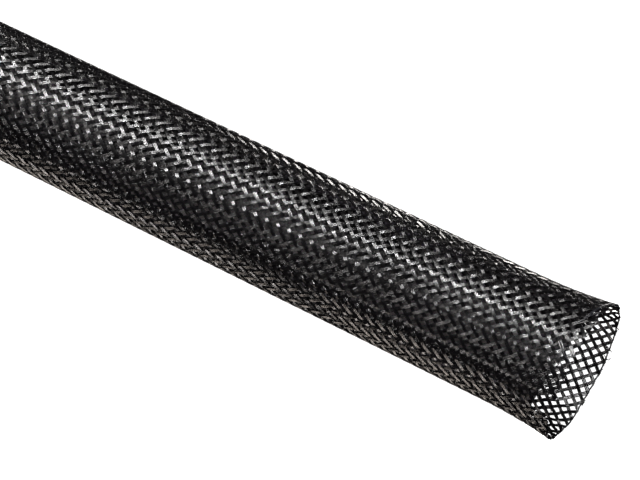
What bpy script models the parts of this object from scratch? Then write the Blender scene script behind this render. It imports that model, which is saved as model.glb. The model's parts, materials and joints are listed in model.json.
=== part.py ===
"""Braided cable sleeve lying on its side: one open tube of braid, its cut mouth sprung open.

The braid is one thin wall here, as thick as two crossed yarns, with a plain lattice of diamond
openings between bands that wind both ways. All lengths are in metres. The sleeve runs along X
with its flared mouth at +X, and it lies on Z = 0 with its middle over the origin.
"""

import math

import bmesh
import bpy

# Sizes of the sleeve as it lies relaxed
LENGTH = 0.305
BODY_DIAMETER = 0.0305
WALL = 0.00064

# The braid widens slowly towards the cut mouth: gain in diameter, and the stretch that it takes
SWELL = 0.0029
SWELL_LENGTH = 0.220
SWELL_POWER = 1.2

# The last stretch springs open at the cut: further gain in diameter, and its stretch
FLARE = 0.0030
FLARE_LENGTH = 0.020
FLARE_POWER = 2.2

# The limp tube sags on the floor: width gained and height lost
SAG = 0.0004

# Lattice of openings: diamonds around and along, which crowd towards the mouth, the share of its
# diamond's length and width that an opening takes, and the plain rim at each cut end
OPENINGS_AROUND = 12
OPENINGS_ALONG = 12
OPENING_CROWDING = 1.4
OPENING_SHARE = 0.62
RIM = 0.002

# Half a diamond is one step of the lattice, around and along
STEPS_AROUND = 2 * OPENINGS_AROUND
STEPS_ALONG = 2 * OPENINGS_ALONG
STEP_ANGLE = 2.0 * math.pi / STEPS_AROUND

NAME = "braided_sleeve"
COLOUR = (0.020, 0.019, 0.023, 1.0)
ROUGHNESS = 0.38
SHARP_EDGE = math.radians(40.0)


def rise(from_mouth, stretch, power):
    """How far a widening has come, 1 at the mouth and 0 where its stretch begins."""
    return max(0.0, 1.0 - from_mouth / stretch) ** power


def outer_radius(from_mouth):
    """Outer radius of the wall at a distance from the mouth, before the sag."""
    swell = SWELL * rise(from_mouth, SWELL_LENGTH, SWELL_POWER)
    flare = FLARE * rise(from_mouth, FLARE_LENGTH, FLARE_POWER)
    return 0.5 * (BODY_DIAMETER + swell + flare)


def lowest(from_mouth):
    """How far the faceted end of the wall reaches below its own axis."""
    return (outer_radius(from_mouth) - 0.5 * SAG) * math.cos(0.5 * STEP_ANGLE)


def axis_height(from_mouth):
    """Height of the straight axis: the tube rests on its two ends, and the wider one lifts it."""
    share = from_mouth / LENGTH
    return share * lowest(LENGTH) + (1.0 - share) * lowest(0.0)


def row_place(row):
    """Distance from the mouth of a row of the lattice, counted from the mouth."""
    share = (row / STEPS_ALONG) ** OPENING_CROWDING
    return RIM + (LENGTH - 2.0 * RIM) * share


def between(start, end, share):
    return start + (end - start) * share


def band_faces():
    """The bands around each diamond opening, as faces of (distance from the mouth, step around)."""
    faces = []
    for row in range(1, STEPS_ALONG):
        middle = row_place(row)
        front = row_place(row - 1)
        back = row_place(row + 1)
        for step in range(STEPS_AROUND):
            if (row + step) % 2 == 0:
                continue
            diamond = [(front, step), (middle, step + 1), (back, step), (middle, step - 1)]
            opening = [
                (between(middle, place, OPENING_SHARE), between(step, side, OPENING_SHARE))
                for place, side in diamond
            ]
            for corner in range(4):
                past = (corner + 1) % 4
                faces.append((diamond[corner], diamond[past], opening[past], opening[corner]))
    return faces


def rim_faces():
    """The plain rims at both ends, with the half diamonds that join them to the bands."""
    faces = []
    for edge, inner, row, reach in ((0.0, RIM, 0, 1), (LENGTH, LENGTH - RIM, STEPS_ALONG, STEPS_ALONG - 1)):
        tip = row_place(reach)
        for step in range(STEPS_AROUND):
            faces.append(((edge, step), (edge, step + 1), (inner, step + 1), (inner, step)))
            if (row + step) % 2 == 1:
                faces.append(((inner, step - 1), (inner, step), (tip, step)))
                faces.append(((inner, step), (inner, step + 1), (tip, step)))
    return faces


def open_wall():
    """The wall about its own axis: its outside as a sheet with openings, thickened inwards."""
    mesh = bmesh.new()
    corners = {}
    for face in band_faces() + rim_faces():
        loop = []
        for from_mouth, step in face:
            place = (round(from_mouth, 7), round(step % STEPS_AROUND, 5))
            if place not in corners:
                radius = outer_radius(from_mouth)
                angle = (step + 0.5) * STEP_ANGLE - 0.5 * math.pi
                spot = (0.5 * LENGTH - from_mouth, radius * math.cos(angle), radius * math.sin(angle))
                corners[place] = mesh.verts.new(spot)
            loop.append(corners[place])
        mesh.faces.new(loop)
    thickened = bmesh.ops.extrude_face_region(mesh, geom=mesh.faces[:], use_keep_orig=True)
    for piece in thickened["geom"]:
        if isinstance(piece, bmesh.types.BMVert):
            x, y, z = piece.co
            inside = 1.0 - WALL / math.hypot(y, z)
            piece.co = (x, y * inside, z * inside)
    return mesh


def lay_down(mesh):
    """Sag each section a little, and lift it so that both ends rest on the floor."""
    for vertex in mesh.verts:
        x, y, z = vertex.co
        radius = math.hypot(y, z)
        wider = (radius + 0.5 * SAG) / radius
        flatter = (radius - 0.5 * SAG) / radius
        vertex.co = (x, y * wider, axis_height(0.5 * LENGTH - x) + z * flatter)


def black_plastic():
    """Black polyester monofilament, a little glossy."""
    material = bpy.data.materials.new("black_monofilament")
    material.use_nodes = True
    shader = material.node_tree.nodes["Principled BSDF"]
    shader.inputs["Base Color"].default_value = COLOUR
    shader.inputs["Roughness"].default_value = ROUGHNESS
    shader.inputs["Metallic"].default_value = 0.0
    return material


def braided_sleeve():
    """The whole sleeve as one object."""
    shape = open_wall()
    lay_down(shape)
    bmesh.ops.recalc_face_normals(shape, faces=shape.faces)
    mesh = bpy.data.meshes.new(NAME)
    shape.to_mesh(mesh)
    shape.free()
    mesh.shade_smooth()
    mesh.set_sharp_from_angle(angle=SHARP_EDGE)
    mesh.materials.append(black_plastic())
    sleeve = bpy.data.objects.new(NAME, mesh)
    bpy.context.scene.collection.objects.link(sleeve)
    return sleeve


def main():
    for old in list(bpy.data.objects):
        bpy.data.objects.remove(old)
    braided_sleeve()


main()
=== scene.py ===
"""Braided cable sleeve: every filament of the braid, its sprung mouth and a pale studio floor.

Lengths are in metres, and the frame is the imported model's: the sleeve lies along X on Z = 0,
with its open mouth at +X. Places along the braid are counted in crossings from the mouth.
"""

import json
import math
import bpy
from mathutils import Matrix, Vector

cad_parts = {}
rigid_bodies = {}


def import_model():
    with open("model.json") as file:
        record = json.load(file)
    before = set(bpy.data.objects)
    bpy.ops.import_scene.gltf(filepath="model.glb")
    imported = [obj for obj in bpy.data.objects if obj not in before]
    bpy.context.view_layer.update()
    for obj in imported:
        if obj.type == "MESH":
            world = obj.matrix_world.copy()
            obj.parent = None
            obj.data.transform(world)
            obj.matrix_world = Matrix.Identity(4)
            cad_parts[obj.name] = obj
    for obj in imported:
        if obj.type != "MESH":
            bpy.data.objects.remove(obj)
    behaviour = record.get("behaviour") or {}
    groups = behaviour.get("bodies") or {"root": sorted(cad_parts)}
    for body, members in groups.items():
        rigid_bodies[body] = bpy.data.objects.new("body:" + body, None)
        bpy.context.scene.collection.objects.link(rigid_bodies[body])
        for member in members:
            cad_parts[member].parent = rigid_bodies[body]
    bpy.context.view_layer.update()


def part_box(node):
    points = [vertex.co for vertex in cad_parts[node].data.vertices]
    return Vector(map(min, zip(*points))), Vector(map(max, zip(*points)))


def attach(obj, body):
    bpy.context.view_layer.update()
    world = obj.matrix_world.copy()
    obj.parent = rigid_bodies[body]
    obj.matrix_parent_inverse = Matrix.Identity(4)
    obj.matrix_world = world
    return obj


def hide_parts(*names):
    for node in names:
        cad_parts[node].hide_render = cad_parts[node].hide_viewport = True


bl_info = {
    "name": "Braided cable sleeve",
    "version": (1, 0, 0),
    "blender": (4, 5, 0),
    "location": "3D View > Sidebar > Braid",
    "description": "Makes an expandable braided sleeve filament by filament",
    "category": "Add Mesh",
}

import bpy
from mathutils import Matrix, Vector

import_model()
SLEEVE = "braided_sleeve"
SLEEVE_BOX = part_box(SLEEVE)
BODY = "root"

# Yarns of one winding are made in this many pieces, so that none grows too heavy
PIECES_PER_WINDING = 4

# Rings of a filament about each swap of level: their places, in crossings from the swap. Its two
# middle rings are those within the tolerance of the middle number.
SWAP_OFFSETS = (-0.36, -0.26, 0.26, 0.36)
RINGS_PER_SWAP = len(SWAP_OFFSETS)
RING_TOLERANCE = 0.6
SPARE_SWAPS = 3
CROSSINGS_PER_FLOAT = 2
SWAP_STEEPNESS = 1.0 / math.sin(0.5 * math.pi * SWAP_OFFSETS[-1])

# Filaments swap levels midway between two crossings. In each yarn they swap a little apart, by this
# share of a yarn's pitch from one filament to the next.
SWAP_PHASE = 0.5
NOMINAL_STRAND_SHARE = 0.15

# Slack in the wall beyond its two crossed yarns
WALL_SLACK = 0.00002

# A noise node gives 0 to 1, mostly near its middle, so its noise is centred and then raised
NOISE_MIDDLE = 0.5
NOISE_GAIN = 4.0

# Seeds and steps that keep the noise of one yarn or filament apart from the next one's
YARN_SEED_STEP = 7.0
NOISE_ROW_STEP = 17.31
NOISE_WINDING_STEP = 5.7
NOISE_SEED_STEP = 3.1
NOISE_DEPTH = 0.37
STRAND_NOISE_START = 100.0

# Yarns wander sideways by a share of their pitch, and filaments by a share of their spacing, in
# waves that come at this rate for each crossing
YARN_WANDER = 0.035
YARN_WANDER_RATE = 0.11
STRAND_WANDER = 0.05
STRAND_WANDER_RATE = 0.23

# Powers of the widening's two curves, as in the CAD model
SWELL_POWER = 1.2
FLARE_POWER = 2.2

# How unevenly the mouth is cut, in crossings: from yarn to yarn, from filament to filament, and
# how far the longest ones reach past the cut
YARN_RAGGEDNESS = 0.30
FILAMENT_RAGGEDNESS = 0.14
OVERHANG = 0.16

# How unevenly the far end is cut, in crossings
FAR_RAGGEDNESS = 0.12

# The cut is a little slanted, in crossings: how far its longest side reaches past the square cut,
# how much shorter the side across from it is, and where the longest side lies, from the back up
CUT_REACH = 0.30
CUT_SLANT = 1.10
CUT_LONGEST = math.radians(-45.0)

# Near the cut the filaments of a yarn part: over how many crossings, how far, how unevenly, and
# the power that keeps most yarns whole
FRAY_CROSSINGS = 5.0
FRAY_SPREAD = 0.45
FRAY_WANDER = 2.5
FRAY_POWER = 3.0

# The cut was made hot, so a thin bead of melted plastic joins the tips over part of the rim, from
# one angle to another, counted from the top towards the back
BEAD_POINTS = 600
BEAD_SIDES = 6
BEAD_FROM = 62.0
BEAD_TO = 268.0
BEAD_DIAMETER = 0.00042
BEAD_WANDER = 0.00045
BEAD_PLACE = 0.00020

# The bead's unevenness: how it sways through the wall, by a share of the wall, how it waves and
# jags along the sleeve, by shares of its wander, and how lumpy it is, by a share of its diameter.
# Each has the scale of its noise and the level at which the noise is read.
BEAD_SWAY = 0.3
BEAD_SWAY_NOISE = (9.0, 0.2)
BEAD_WAVE = 0.6
BEAD_WAVE_NOISE = (2.2, 0.5)
BEAD_JAG = 0.4
BEAD_JAG_NOISE = (14.0, 0.8)
BEAD_LUMPS = 0.4
BEAD_LUMP_NOISE = (26.0, 0.1)
BEAD_THINNEST = 0.45

# Filaments that sprang loose at the cut: distances from the mouth, angles from the top towards
# the back, and heights above the outside of the wall
LOOSE_FILAMENTS = (
    (
        (0.0026, 14.0, -0.0001),
        (0.0021, 21.0, 0.0004),
        (0.0015, 28.0, 0.0006),
        (0.0009, 38.0, 0.0004),
        (0.0005, 48.0, 0.0002),
        (0.0002, 54.0, 0.0000),
    ),
    (
        (0.0030, 15.0, -0.0001),
        (0.0024, 22.0, 0.0004),
        (0.0018, 29.0, 0.0006),
        (0.0012, 38.0, 0.0004),
        (0.0008, 46.0, 0.0001),
    ),
    (
        (0.0040, 8.0, -0.0002),
        (0.0028, 14.0, 0.0002),
        (0.0017, 20.0, 0.0004),
        (0.0004, 25.0, 0.0003),
    ),
    (
        (0.0008, 106.0, -0.0003),
        (0.0001, 108.0, 0.0000),
        (-0.0004, 110.0, 0.0002),
    ),
    (
        (0.0010, 127.0, -0.0003),
        (0.0002, 129.0, 0.0000),
        (-0.0004, 131.0, 0.0003),
    ),
    (
        (0.0008, 135.0, -0.0003),
        (0.0000, 137.0, -0.0001),
        (-0.0005, 137.5, 0.0002),
        (-0.0007, 136.0, 0.0004),
    ),
    (
        (0.0009, -62.0, -0.0002),
        (0.0000, -65.0, 0.0001),
        (-0.0003, -68.0, 0.0002),
    ),
    (
        (0.0050, -12.0, -0.0002),
        (0.0036, -16.0, 0.0003),
        (0.0020, -21.0, 0.0005),
        (0.0002, -24.0, 0.0002),
    ),
)
LOOSE_DIAMETER = 0.00020
LOOSE_STEPS = 5

# The monofilament's finish: its gloss, how much filaments and marks from drawing change it, the
# scales of the marks and of paler patches, and the paler black that patches tend to
GLOSS_ROUGHNESS = 0.20
STRAND_ROUGHNESS = 0.06
MARK_ROUGHNESS = 0.10
MARK_SCALE = 900.0
PATCH_SCALE = 60.0
PATCH_SHARE = 0.6
STRAND_SHARE = 0.4
STRAND_STEP = 0.754877
PALER_BLACK = (0.0030, 0.0028, 0.0027, 1.0)
POLYESTER_IOR = 1.58
POLYESTER_SPECULAR = 0.9

# Sockets picked by number, because their nodes give several the same name
RANDOM_FLOAT = 1
MIXED_COLOUR = 2
FIRST_COLOUR = 6
SECOND_COLOUR = 7


# Node helpers


class Value:
    """One socket of a node tree, so that sums on it add Math nodes."""

    def __init__(self, graph, socket):
        self.graph = graph
        self.socket = socket

    def math(self, operation, *others):
        terms = dict(enumerate((self, *others)))
        return self.graph.value("ShaderNodeMath", {"operation": operation}, terms)

    def __add__(self, other):
        return self.math("ADD", other)

    __radd__ = __add__

    def __mul__(self, other):
        return self.math("MULTIPLY", other)

    __rmul__ = __mul__

    def __sub__(self, other):
        return self.math("SUBTRACT", other)

    def __rsub__(self, other):
        return (self * -1.0) + other

    def __truediv__(self, other):
        return self.math("DIVIDE", other)

    def __rtruediv__(self, other):
        return self.math("POWER", -1.0) * other

    def __pow__(self, other):
        return self.math("POWER", other)

    def __mod__(self, other):
        return self.math("FLOORED_MODULO", other)

    def __lt__(self, other):
        return self.math("LESS_THAN", other)

    def __gt__(self, other):
        return self.math("GREATER_THAN", other)

    def floor(self):
        return self.math("FLOOR")

    def sine(self):
        return self.math("SINE")

    def cosine(self):
        return self.math("COSINE")

    def root(self):
        return self.math("SQRT")

    def at_least(self, other):
        return self.math("MAXIMUM", other)

    def at_most(self, other):
        return self.math("MINIMUM", other)


class Graph:
    """A node tree that nodes are added to."""

    def __init__(self, tree):
        self.tree = tree

    def node(self, kind, settings=None, sockets=None):
        """Add a node: its settings first, then the values or links of its sockets."""
        made = self.tree.nodes.new(kind)
        for name, setting in (settings or {}).items():
            setattr(made, name, setting)
        for name, value in (sockets or {}).items():
            if isinstance(value, Value):
                self.tree.links.new(value.socket, made.inputs[name])
            else:
                made.inputs[name].default_value = value
        return made

    def value(self, kind, settings=None, sockets=None, output=0):
        """Add a node and wrap one of its outputs."""
        return Value(self, self.node(kind, settings, sockets).outputs[output])

    def noise(self, spot, scale, detail):
        """Noise from about -1 to 1 at a place."""
        sockets = {"Vector": spot, "Scale": scale, "Detail": detail}
        grey = self.value("ShaderNodeTexNoise", {"noise_dimensions": "3D"}, sockets)
        return (grey - NOISE_MIDDLE) * NOISE_GAIN

    def spot(self, x, y, z):
        """A place from its three lengths."""
        return self.value("ShaderNodeCombineXYZ", None, {"X": x, "Y": y, "Z": z})


def start_tree(name, inputs):
    """A new Geometry Nodes tree: its graph, and its inputs by name."""
    tree = bpy.data.node_groups.new(name, "GeometryNodeTree")
    tree.interface.new_socket(name="Geometry", in_out="OUTPUT", socket_type="NodeSocketGeometry")
    for label, kind in inputs:
        tree.interface.new_socket(name=label, in_out="INPUT", socket_type=kind)
    graph = Graph(tree)
    given = graph.node("NodeGroupInput")
    return graph, {label: Value(graph, given.outputs[label]) for label, kind in inputs}


def finish_tree(graph, tubes, material):
    """Smooth a tree's mesh, give it its material and hand it to the tree's output."""
    smooth = graph.value("GeometryNodeSetShadeSmooth", None, {"Geometry": tubes})
    plain = graph.value("GeometryNodeRealizeInstances", None, {"Geometry": smooth})
    finished = graph.value("GeometryNodeSetMaterial", None, {"Geometry": plain, "Material": material})
    graph.node("NodeGroupOutput", None, {"Geometry": finished})
    return graph.tree


def group_number(number, size):
    """Which group of this size a whole number falls in, whatever its rounding."""
    return (number / size + 0.5 / size).floor()


# Properties


class BraidSizes(bpy.types.PropertyGroup):
    """Sizes of the sleeve and its braid."""

    body_diameter: bpy.props.FloatProperty(
        name="Body diameter",
        description="Outer diameter of the sleeve far from its mouth",
        default=0.0305,
        unit="LENGTH",
    )
    wall: bpy.props.FloatProperty(
        name="Wall",
        description="Thickness of the braid, two crossed yarns and their slack",
        default=0.00064,
        unit="LENGTH",
    )
    swell: bpy.props.FloatProperty(
        name="Swell",
        description="Gain in diameter as the braid widens towards its mouth",
        default=0.0029,
        unit="LENGTH",
    )
    swell_length: bpy.props.FloatProperty(
        name="Swell length",
        description="Stretch over which the braid widens",
        default=0.220,
        unit="LENGTH",
    )
    flare: bpy.props.FloatProperty(
        name="Flare",
        description="Further gain in diameter where the cut end springs open",
        default=0.0030,
        unit="LENGTH",
    )
    flare_length: bpy.props.FloatProperty(
        name="Flare length",
        description="Stretch over which the cut end springs open",
        default=0.020,
        unit="LENGTH",
    )
    sag: bpy.props.FloatProperty(
        name="Sag",
        description="Width gained and height lost as the limp sleeve lies down",
        default=0.0004,
        unit="LENGTH",
    )
    yarns: bpy.props.IntProperty(
        name="Yarns each way",
        description="Yarns that wind the same way round the sleeve",
        default=40,
    )
    filaments: bpy.props.IntProperty(
        name="Filaments in a yarn",
        description="Monofilaments lying side by side in each yarn",
        default=3,
    )
    filament_diameter: bpy.props.FloatProperty(
        name="Filament diameter",
        description="Diameter of one monofilament, with its share of the slack",
        default=0.00028,
        unit="LENGTH",
    )
    filament_gap: bpy.props.FloatProperty(
        name="Filament gap",
        description="Slack between the monofilaments of a yarn",
        default=0.000005,
        unit="LENGTH",
    )
    crossing_spacing: bpy.props.FloatProperty(
        name="Crossing spacing",
        description="Length of yarn from one crossing to the next, which stretching does not change",
        default=0.0020,
        unit="LENGTH",
    )
    lattice_turn: bpy.props.FloatProperty(
        name="Lattice turn",
        description="Turn of the whole weave about the sleeve's axis at its mouth",
        default=math.radians(3.6),
        subtype="ANGLE",
    )
    twist: bpy.props.FloatProperty(
        name="Twist",
        description="Turn of the weave about the axis over a metre of sleeve, away from the mouth",
        default=math.radians(-33.7),
        subtype="ANGLE",
    )
    sides: bpy.props.IntProperty(
        name="Filament sides",
        description="Sides of a modelled filament",
        default=5,
    )


class BraidLooks(bpy.types.PropertyGroup):
    """Colours of the sleeve and its stage."""

    filament_colour: bpy.props.FloatVectorProperty(
        name="Filament colour",
        description="Colour of the black polyester monofilament",
        subtype="COLOR",
        size=4,
        default=(0.0016, 0.0014, 0.0019, 1.0),
    )
    floor_colour: bpy.props.FloatVectorProperty(
        name="Floor colour",
        description="Colour of the pale studio floor",
        subtype="COLOR",
        size=4,
        default=(0.90, 0.90, 0.90, 1.0),
    )
    floor_brightness: bpy.props.FloatProperty(
        name="Floor brightness",
        description="Brightness of the lit floor, where 1 is white",
        default=1.15,
        unit="NONE",
    )
    light_power: bpy.props.FloatProperty(
        name="Light power",
        description="Power of the lights on the sleeve, for each square metre of softbox",
        default=1000.0,
        unit="NONE",
    )


# The braid


class Braid:
    """The braid's lengths and angles, from the sizes that a user sets."""

    def __init__(self, sizes):
        self.sizes = sizes
        low, high = SLEEVE_BOX
        self.length = high[0] - low[0]
        self.mouth_x = high[0]
        self.yarn_angle = 2.0 * math.pi / sizes.yarns
        self.float_height = 0.5 * (sizes.wall - sizes.filament_diameter - WALL_SLACK)
        self.strand_spacing = sizes.filament_diameter + sizes.filament_gap
        self.corner_growth = math.pi / (sizes.sides * math.sin(math.pi / sizes.sides))
        self.body_step = self.axial_step(self.middle_radius(self.length))
        mouth_radius = self.middle_radius(0.0)
        spread = mouth_radius - self.middle_radius(self.length)
        self.shortening = (self.body_step - self.axial_step(mouth_radius)) / spread
        self.mouth_step = self.axial_step(mouth_radius)
        self.swell_crossings = sizes.swell_length / (0.5 * (self.body_step + self.mouth_step))
        self.flare_crossings = sizes.flare_length / self.mouth_step

    def middle_radius(self, from_mouth):
        """Radius of the middle of the braid's wall at a distance from the mouth."""
        swell = self.sizes.swell * max(0.0, 1.0 - from_mouth / self.sizes.swell_length) ** SWELL_POWER
        flare = self.sizes.flare * max(0.0, 1.0 - from_mouth / self.sizes.flare_length) ** FLARE_POWER
        return 0.5 * (self.sizes.body_diameter + swell + flare - self.sizes.wall)

    def axial_step(self, radius):
        """Way along the axis from one crossing to the next, where the braid has this radius."""
        around = math.pi * radius / self.sizes.yarns
        return math.sqrt(self.sizes.crossing_spacing ** 2 - around ** 2)

    def crossings(self):
        """Crossings from the mouth to the far end."""
        swell = self.swell_crossings * 0.5 * self.sizes.swell / (SWELL_POWER + 1.0)
        flare = self.flare_crossings * 0.5 * self.sizes.flare / (FLARE_POWER + 1.0)
        return (self.length + self.shortening * (swell + flare)) / self.body_step

    def cut(self, cosine):
        """Place of the slanted cut in crossings, from the cosine of the angle to its longest side."""
        return (1.0 - cosine) * (0.5 * CUT_SLANT) - CUT_REACH

    def end_height(self, from_mouth):
        """Height of the axis above the floor at one end, where the braid rests."""
        outside = self.middle_radius(from_mouth) + 0.5 * self.sizes.wall
        return outside - 0.5 * self.sizes.sag


def strands_tree(braid, material):
    """Geometry Nodes that make filaments of one winding from their number and place."""
    sizes = braid.sizes
    inputs = (
        ("Yarns", "NodeSocketInt"),
        ("First yarn", "NodeSocketInt"),
        ("Yarn stride", "NodeSocketInt"),
        ("Winding", "NodeSocketFloat"),
        ("Filament diameter", "NodeSocketFloat"),
        ("Float height", "NodeSocketFloat"),
        ("Strand spacing", "NodeSocketFloat"),
        ("Crossings", "NodeSocketFloat"),
        ("Body diameter", "NodeSocketFloat"),
        ("Swell", "NodeSocketFloat"),
        ("Swell length", "NodeSocketFloat"),
        ("Flare", "NodeSocketFloat"),
        ("Flare length", "NodeSocketFloat"),
        ("Sides", "NodeSocketInt"),
        ("Seed", "NodeSocketInt"),
    )
    graph, asked = start_tree("braid_strands", inputs)
    winding = asked["Winding"]

    samples = RINGS_PER_SWAP * (math.ceil(braid.crossings() / CROSSINGS_PER_FLOAT) + SPARE_SWAPS)
    index = graph.value("GeometryNodeInputIndex")
    strand = group_number(index, samples)
    sample = index - strand * samples
    yarn_in_piece = group_number(strand, sizes.filaments)
    place_in_yarn = strand - yarn_in_piece * sizes.filaments - 0.5 * (sizes.filaments - 1)
    yarn = asked["First yarn"] + yarn_in_piece * asked["Yarn stride"]

    def wander(number, along):
        """Noise from about -1 to 1 along a yarn or a filament, by its number."""
        across = number * NOISE_ROW_STEP + winding * NOISE_WINDING_STEP + asked["Seed"] * NOISE_SEED_STEP
        return graph.noise(graph.spot(along, across, NOISE_DEPTH), scale=1.0, detail=1.0)

    nominal_shift = place_in_yarn * NOMINAL_STRAND_SHARE
    middle_swap = CROSSINGS_PER_FLOAT - SWAP_PHASE
    first_swap = (winding * (middle_swap - nominal_shift)) % CROSSINGS_PER_FLOAT

    def raw_place(number):
        """Place of a sample along its filament, in crossings from the mouth."""
        swap = group_number(number, RINGS_PER_SWAP)
        step = number - swap * RINGS_PER_SWAP
        middle_step = 0.5 * (RINGS_PER_SWAP - 1)
        inner = step.math("COMPARE", middle_step, RING_TOLERANCE)
        side = (step > middle_step) * 2.0 - 1.0
        offset = side * (SWAP_OFFSETS[-1] - inner * (SWAP_OFFSETS[-1] - SWAP_OFFSETS[-2]))
        return first_swap + (swap - 1.0) * CROSSINGS_PER_FLOAT + offset

    ragged = graph.value(
        "FunctionNodeRandomValue",
        {"data_type": "FLOAT"},
        {"Min": 0.0, "Max": 1.0, "ID": strand, "Seed": asked["Seed"]},
        output=RANDOM_FLOAT,
    )
    yarn_ragged = graph.value(
        "FunctionNodeRandomValue",
        {"data_type": "FLOAT"},
        {"Min": 0.0, "Max": 1.0, "ID": yarn, "Seed": asked["Seed"] + YARN_SEED_STEP},
        output=RANDOM_FLOAT,
    )
    cut = braid.cut((yarn * braid.yarn_angle + (sizes.lattice_turn - CUT_LONGEST)).cosine())
    start = yarn_ragged * YARN_RAGGEDNESS + ragged * FILAMENT_RAGGEDNESS + cut - OVERHANG
    finish = asked["Crossings"] - ragged * FAR_RAGGEDNESS
    place = raw_place(sample).at_least(start).at_most(finish)
    before = raw_place(sample + 1.0) < start
    after = raw_place(sample - 1.0) > finish
    unused = before.at_least(after)

    rise_swell = (1.0 - place / braid.swell_crossings).at_least(0.0)
    rise_flare = (1.0 - place / braid.flare_crossings).at_least(0.0)
    lost_swell = (1.0 - rise_swell ** (SWELL_POWER + 1.0)) * (
        braid.swell_crossings * 0.5 / (SWELL_POWER + 1.0)
    )
    lost_flare = (1.0 - rise_flare ** (FLARE_POWER + 1.0)) * (
        braid.flare_crossings * 0.5 / (FLARE_POWER + 1.0)
    )
    lost = lost_swell * asked["Swell"] + lost_flare * asked["Flare"]
    from_mouth = place * braid.body_step - lost * braid.shortening
    swell = (1.0 - from_mouth / asked["Swell length"]).at_least(0.0) ** SWELL_POWER
    flare = (1.0 - from_mouth / asked["Flare length"]).at_least(0.0) ** FLARE_POWER
    outside = (swell * asked["Swell"] + flare * asked["Flare"] + asked["Body diameter"]) * 0.5
    middle = outside - 0.5 * sizes.wall

    around = middle * (math.pi / sizes.yarns)
    axial = ((0.0 - around * around) + sizes.crossing_spacing ** 2).root()
    strand_angle = asked["Strand spacing"] * sizes.crossing_spacing / (middle * axial)
    yarn_wander = wander(yarn, place * YARN_WANDER_RATE) * YARN_WANDER
    strand_wander = wander(strand + STRAND_NOISE_START, place * STRAND_WANDER_RATE) * STRAND_WANDER
    fray = (1.0 - place / FRAY_CROSSINGS).at_least(0.0) * yarn_ragged ** FRAY_POWER
    spread = place_in_yarn * (fray * FRAY_SPREAD + 1.0)
    lateral = spread + strand_wander * (fray * FRAY_WANDER + 1.0)
    half_pitches = yarn * 2.0 + winding * place
    phase = half_pitches + nominal_shift + SWAP_PHASE
    wave = (phase * (math.pi / CROSSINGS_PER_FLOAT)).sine() * SWAP_STEEPNESS
    wave = wave.at_least(-1.0).at_most(1.0)
    level = wave * (1.5 - wave * wave * 0.5)
    radius = middle + winding * level * asked["Float height"]
    angle = half_pitches * (0.5 * braid.yarn_angle) + lateral * strand_angle
    angle = angle + yarn_wander * braid.yarn_angle + sizes.lattice_turn + from_mouth * sizes.twist

    far_height = braid.end_height(braid.length)
    near_height = braid.end_height(0.0)
    axis = near_height - from_mouth * ((near_height - far_height) / braid.length)
    wider = sizes.sag * 0.5
    spot = graph.spot(
        braid.mouth_x - from_mouth,
        angle.cosine() * (radius + wider),
        axis + angle.sine() * (radius - wider),
    )
    points = graph.node("GeometryNodePoints", None, {
        "Count": asked["Yarns"] * (sizes.filaments * samples),
        "Position": spot,
    })
    cloud = Value(graph, points.outputs[0])
    for name, field in (("strand", strand), ("place", place), ("unused", unused)):
        stored = graph.node(
            "GeometryNodeStoreNamedAttribute",
            {"data_type": "FLOAT", "domain": "POINT"},
            {"Geometry": cloud, "Name": name, "Value": field},
        )
        cloud = Value(graph, stored.outputs[0])

    def kept(name):
        return graph.value("GeometryNodeInputNamedAttribute", {"data_type": "FLOAT"}, {"Name": name})

    used = graph.value(
        "GeometryNodeDeleteGeometry",
        {"domain": "POINT"},
        {"Geometry": cloud, "Selection": kept("unused")},
    )
    curves = graph.value(
        "GeometryNodePointsToCurves",
        None,
        {"Points": used, "Curve Group ID": kept("strand"), "Weight": kept("place")},
    )
    corner_radius = asked["Filament diameter"] * (0.5 * braid.corner_growth)
    ring = graph.value(
        "GeometryNodeCurvePrimitiveCircle",
        {"mode": "RADIUS"},
        {"Resolution": asked["Sides"], "Radius": corner_radius},
    )
    tubes = graph.value(
        "GeometryNodeCurveToMesh",
        None,
        {"Curve": curves, "Profile Curve": ring, "Fill Caps": True},
    )
    return finish_tree(graph, tubes, material)


def set_input(modifier, name, value):
    """Set a named input of a Geometry Nodes modifier by its identifier."""
    for item in modifier.node_group.interface.items_tree:
        if item.in_out == "INPUT" and item.name == name:
            modifier[item.identifier] = value
            return
    raise KeyError(name)


def filament_material(colour):
    """Black polyester monofilament, slightly different from strand to strand."""
    material = bpy.data.materials.new("black_monofilament")
    material.use_nodes = True
    graph = Graph(material.node_tree)
    shader = material.node_tree.nodes["Principled BSDF"]
    strand = graph.value("ShaderNodeAttribute", {"attribute_name": "strand"}, output="Fac")
    spot = graph.value("ShaderNodeTexCoord", output="Object")
    marks = graph.value("ShaderNodeTexNoise", None, {"Vector": spot, "Scale": MARK_SCALE, "Detail": 3.0})
    patch = graph.value("ShaderNodeTexNoise", None, {"Vector": spot, "Scale": PATCH_SCALE, "Detail": 2.0})
    own = (strand * STRAND_STEP).math("FRACT")
    rough = GLOSS_ROUGHNESS + own * STRAND_ROUGHNESS + (marks - NOISE_MIDDLE) * MARK_ROUGHNESS
    material.node_tree.links.new(rough.socket, shader.inputs["Roughness"])
    tint = graph.value(
        "ShaderNodeMix",
        {"data_type": "RGBA"},
        {
            "Factor": patch * PATCH_SHARE + own * STRAND_SHARE,
            FIRST_COLOUR: colour,
            SECOND_COLOUR: PALER_BLACK,
        },
        output=MIXED_COLOUR,
    )
    material.node_tree.links.new(tint.socket, shader.inputs["Base Color"])
    shader.inputs["IOR"].default_value = POLYESTER_IOR
    shader.inputs["Specular IOR Level"].default_value = POLYESTER_SPECULAR
    return material


def added(name, data):
    """A new object in the scene, with this data."""
    thing = bpy.data.objects.new(name, data)
    bpy.context.scene.collection.objects.link(thing)
    return thing


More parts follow.
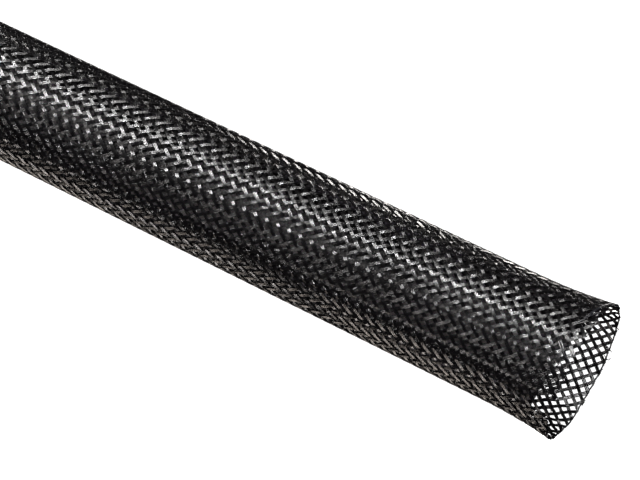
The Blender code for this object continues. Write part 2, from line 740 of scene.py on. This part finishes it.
def plain_copy(maker, name):
    """Keep what a maker evaluates to as a plain mesh object, and remove the maker."""
    depsgraph = bpy.context.evaluated_depsgraph_get()
    mesh = bpy.data.meshes.new_from_object(maker.evaluated_get(depsgraph), depsgraph=depsgraph)
    maker.modifiers.clear()
    bpy.data.objects.remove(maker)
    mesh.name = name
    return added(name, mesh)


def plain_mesh(name, tree, settings):
    """Run a Geometry Nodes tree once and keep its result as a plain mesh object."""
    maker = added(name + "_maker", bpy.data.meshes.new(name + "_maker"))
    modifier = maker.modifiers.new("Strands", "NODES")
    modifier.node_group = tree
    for key, value in settings.items():
        set_input(modifier, key, value)
    return plain_copy(maker, name)


class OBJECT_OT_braid_yarns(bpy.types.Operator):
    """Make every yarn of the braid, filament by filament."""

    bl_idname = "object.braid_yarns"
    bl_label = "Braid yarns"

    def execute(self, context):
        sizes = context.scene.braid_sizes
        braid = Braid(sizes)
        material = filament_material(context.scene.braid_looks.filament_colour)
        tree = strands_tree(braid, material)
        for winding, direction in (("left", 1.0), ("right", -1.0)):
            for number in range(PIECES_PER_WINDING):
                name = f"{winding}_winding_yarns_{number + 1}"
                piece = plain_mesh(name, tree, {
                    "Yarns": sizes.yarns // PIECES_PER_WINDING,
                    "First yarn": number,
                    "Yarn stride": PIECES_PER_WINDING,
                    "Winding": direction,
                    "Filament diameter": sizes.filament_diameter,
                    "Float height": braid.float_height,
                    "Strand spacing": braid.strand_spacing,
                    "Crossings": braid.crossings(),
                    "Body diameter": sizes.body_diameter,
                    "Swell": sizes.swell,
                    "Swell length": sizes.swell_length,
                    "Flare": sizes.flare,
                    "Flare length": sizes.flare_length,
                    "Sides": sizes.sides,
                    "Seed": number,
                })
                belongs(piece)
        return {"FINISHED"}


def bead_tree(braid, material):
    """Geometry Nodes that run an uneven bead along the cut, through the tips of the yarns."""
    inputs = (
        ("Points", "NodeSocketInt"),
        ("Bead diameter", "NodeSocketFloat"),
        ("Wander", "NodeSocketFloat"),
        ("Place", "NodeSocketFloat"),
        ("Sides", "NodeSocketInt"),
    )
    graph, asked = start_tree("melted_bead", inputs)
    share = graph.value("GeometryNodeInputIndex") / asked["Points"]
    angle = math.radians(90.0 - BEAD_FROM) - share * math.radians(BEAD_TO - BEAD_FROM)

    def round_noise(scale, level):
        """Noise from about -1 to 1 round the mouth."""
        return graph.noise(graph.spot(angle.cosine(), angle.sine(), level), scale, detail=2.0)

    sag = 0.5 * braid.sizes.sag
    radius = round_noise(*BEAD_SWAY_NOISE) * (BEAD_SWAY * braid.sizes.wall) + braid.middle_radius(0.0)
    waves = round_noise(*BEAD_WAVE_NOISE) * BEAD_WAVE + round_noise(*BEAD_JAG_NOISE) * BEAD_JAG
    inwards = (waves * asked["Wander"] + asked["Place"]).at_least(0.0)
    cut = braid.cut((angle - CUT_LONGEST).cosine()) * braid.mouth_step
    spot = graph.spot(
        braid.mouth_x - inwards - cut,
        angle.cosine() * (radius + sag),
        angle.sine() * (radius - sag) + braid.end_height(0.0),
    )
    line = graph.value("GeometryNodeCurvePrimitiveLine", {"mode": "POINTS"}, {"End": (0.0, 0.0, 1.0)})
    points = graph.value(
        "GeometryNodeResampleCurve",
        {"mode": "COUNT"},
        {"Curve": line, "Count": asked["Points"]},
    )
    placed = graph.value("GeometryNodeSetPosition", None, {"Geometry": points, "Position": spot})
    thick = (round_noise(*BEAD_LUMP_NOISE) * BEAD_LUMPS + 1.0).at_least(BEAD_THINNEST)
    swollen = graph.value("GeometryNodeSetCurveRadius", None, {"Curve": placed, "Radius": thick})
    profile = graph.value(
        "GeometryNodeCurvePrimitiveCircle",
        {"mode": "RADIUS"},
        {"Resolution": asked["Sides"], "Radius": asked["Bead diameter"] * 0.5},
    )
    tube = graph.value(
        "GeometryNodeCurveToMesh",
        None,
        {"Curve": swollen, "Profile Curve": profile, "Fill Caps": True},
    )
    return finish_tree(graph, tube, material)


def belongs(piece):
    """Tie a piece of the braid to the CAD sleeve that it stands for."""
    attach(piece, BODY)
    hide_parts(SLEEVE)


class OBJECT_OT_braid_melted_edge(bpy.types.Operator):
    """Make the thin bead of melted plastic that joins the yarn tips at the cut mouth."""

    bl_idname = "object.braid_melted_edge"
    bl_label = "Melted edge"

    def execute(self, context):
        braid = Braid(context.scene.braid_sizes)
        tree = bead_tree(braid, bpy.data.materials["black_monofilament"])
        belongs(plain_mesh("melted_cut_edge", tree, {
            "Points": BEAD_POINTS,
            "Bead diameter": BEAD_DIAMETER,
            "Wander": BEAD_WANDER,
            "Place": BEAD_PLACE,
            "Sides": BEAD_SIDES,
        }))
        return {"FINISHED"}


class OBJECT_OT_braid_loose_filaments(bpy.types.Operator):
    """Make the few filaments that sprang loose at the cut mouth."""

    bl_idname = "object.braid_loose_filaments"
    bl_label = "Loose filaments"

    def execute(self, context):
        sizes = context.scene.braid_sizes
        braid = Braid(sizes)
        curve = bpy.data.curves.new("loose_filaments", "CURVE")
        curve.dimensions = "3D"
        curve.resolution_u = LOOSE_STEPS
        curve.bevel_depth = 0.5 * LOOSE_DIAMETER
        curve.bevel_resolution = 1
        curve.use_fill_caps = True
        for filament in LOOSE_FILAMENTS:
            spline = curve.splines.new("BEZIER")
            spline.bezier_points.add(len(filament) - 1)
            for point, (from_mouth, turn, height) in zip(spline.bezier_points, filament):
                turn = math.radians(turn)
                from_mouth += braid.cut(math.cos(0.5 * math.pi - turn - CUT_LONGEST)) * braid.mouth_step
                radius = braid.middle_radius(from_mouth) + 0.5 * sizes.wall + height
                point.co = (
                    braid.mouth_x - from_mouth,
                    radius * math.sin(turn),
                    braid.end_height(0.0) + radius * math.cos(turn),
                )
                point.handle_left_type = point.handle_right_type = "AUTO"
        piece = plain_copy(added("loose_filaments_maker", curve), "loose_filaments")
        piece.data.materials.clear()
        piece.data.materials.append(bpy.data.materials["black_monofilament"])
        piece.data.shade_smooth()
        belongs(piece)
        return {"FINISHED"}


# The stage


VIEW_AZIMUTH = math.radians(29.13)
VIEW_ELEVATION = math.radians(61.1)
VIEW_DISTANCE = 0.95
FRAME_WIDTH = 640
FRAME_HEIGHT = 480
PIXEL = 0.00024
MOUTH_PIXEL = (585.0, 372.8)

# A little below 1, which deepens the blacks as in a retouched product picture
PICTURE_GAMMA = 0.92
SENSOR = 36.0
CAMERA_REACH = (0.05, 50.0)

# The floor, and the faint light all round
FLOOR_HALF = 3.0
FLOOR_ROUGHNESS = 0.9
STUDIO_COLOUR = (0.011, 0.008, 0.013, 1.0)

# The light that whitens the floor leans this much along the sleeve, so its shadow stays behind it
FLOOR_LIGHT_LEAN = 0.97
FLOOR_LIGHT_ANGLE = math.radians(0.3)

# A round pool of light keeps the floor white at the mouth, from a little way inside it
MOUTH_POOL_RADIUS = 0.20
MOUTH_POOL_REACH = 0.0108
MOUTH_POOL_BRIGHTNESS = 1.2
MOUTH_LIGHT_HEIGHT = 1.5

# Lights on the sleeve: how far each leans along it, its turn from straight up towards the back,
# its length along the sleeve and its width across it, its share of the power and its colour. They
# stand nearly square to the camera, so they are rolled against the sleeve. The last two stand for
# what the backdrop and the floor send back, so they lie low.
LIGHT_DISTANCE = 2.0
LIGHT_ROLL = math.radians(30.0)
STUDIO_LIGHTS = (
    ("overhead_softbox", -0.23, 19.0, (0.32, 1.60), 0.116, (1.0, 0.985, 0.965)),
    ("overhead_strip", -0.23, 14.0, (0.30, 0.16), 0.950, (0.98, 0.99, 1.0)),
    ("front_card", 0.24, -88.0, (0.26, 0.50), 0.108, (1.0, 0.955, 0.935)),
    ("backdrop_glow", -0.10, 118.0, (0.60, 0.36), 0.082, (1.0, 0.965, 0.93)),
    ("floor_glow", -0.26, -145.0, (0.90, 0.60), 0.026, (1.0, 0.89, 0.80)),
)


def aim(thing, place, target):
    """Put a light or camera at a place, looking at a target with its top up."""
    thing.location = place
    thing.rotation_euler = (target - place).to_track_quat("-Z", "Y").to_euler()


def view_axes():
    """Right, up and forward of the photographed view."""
    right = Vector((math.cos(VIEW_AZIMUTH), math.sin(VIEW_AZIMUTH), 0.0))
    forward = Vector((
        -math.sin(VIEW_AZIMUTH) * math.cos(VIEW_ELEVATION),
        math.cos(VIEW_AZIMUTH) * math.cos(VIEW_ELEVATION),
        -math.sin(VIEW_ELEVATION),
    ))
    return right, right.cross(forward), forward


def photo_camera(mouth):
    """A long lens at the photograph's angle, framed by where the mouth's centre shows."""
    right, up, forward = view_axes()
    across = (0.5 * FRAME_WIDTH - MOUTH_PIXEL[0]) * PIXEL
    above = (MOUTH_PIXEL[1] - 0.5 * FRAME_HEIGHT) * PIXEL
    target = mouth + across * right + above * up
    data = bpy.data.cameras.new("camera")
    data.sensor_width = SENSOR
    data.lens = VIEW_DISTANCE / PIXEL * SENSOR / FRAME_WIDTH
    data.clip_start, data.clip_end = CAMERA_REACH
    camera = added("camera", data)
    aim(camera, target - forward * VIEW_DISTANCE, target)
    bpy.context.scene.camera = camera
    return target


def softbox(name, lean, turn, target, size, power, colour, sleeve_only):
    """A rectangular light that shines only on the sleeve and aims at the middle of the picture."""
    data = bpy.data.lights.new(name, "AREA")
    data.shape = "RECTANGLE"
    data.size, data.size_y = size
    data.energy = power * size[0] * size[1]
    data.color = colour
    light = added(name, data)
    across = math.sqrt(1.0 - lean ** 2)
    turn = math.radians(turn)
    back = Vector((lean, across * math.sin(turn), across * math.cos(turn)))
    side = (Vector((1.0, 0.0, 0.0)) - back * back.x).normalized()
    wide = back.cross(side)
    wide = math.cos(LIGHT_ROLL) * wide + math.sin(LIGHT_ROLL) * side
    light.matrix_world = Matrix((wide.cross(back), wide, back)).transposed().to_4x4()
    light.location = target + back * LIGHT_DISTANCE
    light.light_linking.receiver_collection = sleeve_only
    light.light_linking.blocker_collection = sleeve_only


def pale_floor(looks):
    """A wide plain floor that the sleeve doesn't mirror."""
    half = FLOOR_HALF
    mesh = bpy.data.meshes.new("floor")
    corners = [(-half, -half, 0.0), (half, -half, 0.0), (half, half, 0.0), (-half, half, 0.0)]
    mesh.from_pydata(corners, [], [(0, 1, 2, 3)])
    material = bpy.data.materials.new("pale_floor")
    material.use_nodes = True
    shader = material.node_tree.nodes["Principled BSDF"]
    shader.inputs["Base Color"].default_value = looks.floor_colour
    shader.inputs["Roughness"].default_value = FLOOR_ROUGHNESS
    mesh.materials.append(material)
    floor = added("floor", mesh)
    floor.visible_glossy = False
    floor.visible_diffuse = False
    return floor


def floor_light(looks, floor_only):
    """A hard light that whitens the floor and throws the sleeve's shadow out of the camera's sight."""
    forward = view_axes()[2]
    toward = -Vector((0.0, forward.y, forward.z)).normalized()
    along = Vector((-1.0, 0.0, 0.0))
    direction = FLOOR_LIGHT_LEAN * along + math.sqrt(1.0 - FLOOR_LIGHT_LEAN ** 2) * toward
    sun = bpy.data.lights.new("floor_light", "SUN")
    sun.energy = looks.floor_brightness * math.pi / (looks.floor_colour[0] * direction.z)
    sun.angle = FLOOR_LIGHT_ANGLE
    light = added("floor_light", sun)
    aim(light, direction, Vector((0.0, 0.0, 0.0)))
    light.light_linking.receiver_collection = floor_only


def mouth_floor_light(looks, mouth, floor_only):
    """A pool of light on the floor beyond the mouth, where the sleeve's shadow would lie."""
    spot = bpy.data.lights.new("mouth_floor_light", "SPOT")
    spot.spot_size = 2.0 * math.atan(MOUTH_POOL_RADIUS / MOUTH_LIGHT_HEIGHT)
    spot.spot_blend = 0.0
    spot.shadow_soft_size = 0.0
    strength = MOUTH_POOL_BRIGHTNESS / looks.floor_colour[0]
    spot.energy = 4.0 * math.pi ** 2 * MOUTH_LIGHT_HEIGHT ** 2 * strength
    light = added("mouth_floor_light", spot)
    light.location = (mouth.x - MOUTH_POOL_REACH + MOUTH_POOL_RADIUS, 0.0, MOUTH_LIGHT_HEIGHT)
    light.light_linking.receiver_collection = floor_only
    light.light_linking.blocker_collection = floor_only


class OBJECT_OT_braid_stage(bpy.types.Operator):
    """Make the pale floor, the soft lights and the camera."""

    bl_idname = "object.braid_stage"
    bl_label = "Stage"

    def execute(self, context):
        scene = context.scene
        looks = scene.braid_looks
        braid = Braid(scene.braid_sizes)
        mouth = Vector((braid.mouth_x, 0.0, braid.end_height(0.0)))
        target = photo_camera(mouth)
        sleeve_only = bpy.data.collections.new("lit_sleeve")
        for piece in bpy.data.objects:
            if piece.type == "MESH":
                sleeve_only.objects.link(piece)
        for name, lean, turn, size, share, colour in STUDIO_LIGHTS:
            softbox(name, lean, turn, target, size, share * looks.light_power, colour, sleeve_only)
        floor_only = bpy.data.collections.new("lit_floor")
        floor_only.objects.link(pale_floor(looks))
        floor_light(looks, floor_only)
        mouth_floor_light(looks, mouth, floor_only)
        world = bpy.data.worlds.new("studio")
        world.use_nodes = True
        world.node_tree.nodes["Background"].inputs["Color"].default_value = STUDIO_COLOUR
        scene.world = world
        scene.view_settings.view_transform = "Standard"
        scene.view_settings.gamma = PICTURE_GAMMA
        return {"FINISHED"}


class VIEW3D_PT_braid(bpy.types.Panel):
    """Sizes, colours and pieces of the sleeve."""

    bl_label = "Braided sleeve"
    bl_idname = "VIEW3D_PT_braid"
    bl_space_type = "VIEW_3D"
    bl_region_type = "UI"
    bl_category = "Braid"

    def draw(self, context):
        for group in (context.scene.braid_sizes, context.scene.braid_looks):
            for name in group.__annotations__:
                self.layout.prop(group, name)
        for operator in OPERATORS:
            self.layout.operator(operator.bl_idname)


OPERATORS = (
    OBJECT_OT_braid_yarns,
    OBJECT_OT_braid_melted_edge,
    OBJECT_OT_braid_loose_filaments,
    OBJECT_OT_braid_stage,
)
CLASSES = (BraidSizes, BraidLooks, *OPERATORS, VIEW3D_PT_braid)


def register():
    for kind in CLASSES:
        bpy.utils.register_class(kind)
    bpy.types.Scene.braid_sizes = bpy.props.PointerProperty(type=BraidSizes)
    bpy.types.Scene.braid_looks = bpy.props.PointerProperty(type=BraidLooks)


def unregister():
    del bpy.types.Scene.braid_looks
    del bpy.types.Scene.braid_sizes
    for kind in reversed(CLASSES):
        bpy.utils.unregister_class(kind)


def main():
    register()
    bpy.ops.object.braid_yarns()
    bpy.ops.object.braid_melted_edge()
    bpy.ops.object.braid_loose_filaments()
    bpy.ops.object.braid_stage()


if __name__ == "__main__":
    main()
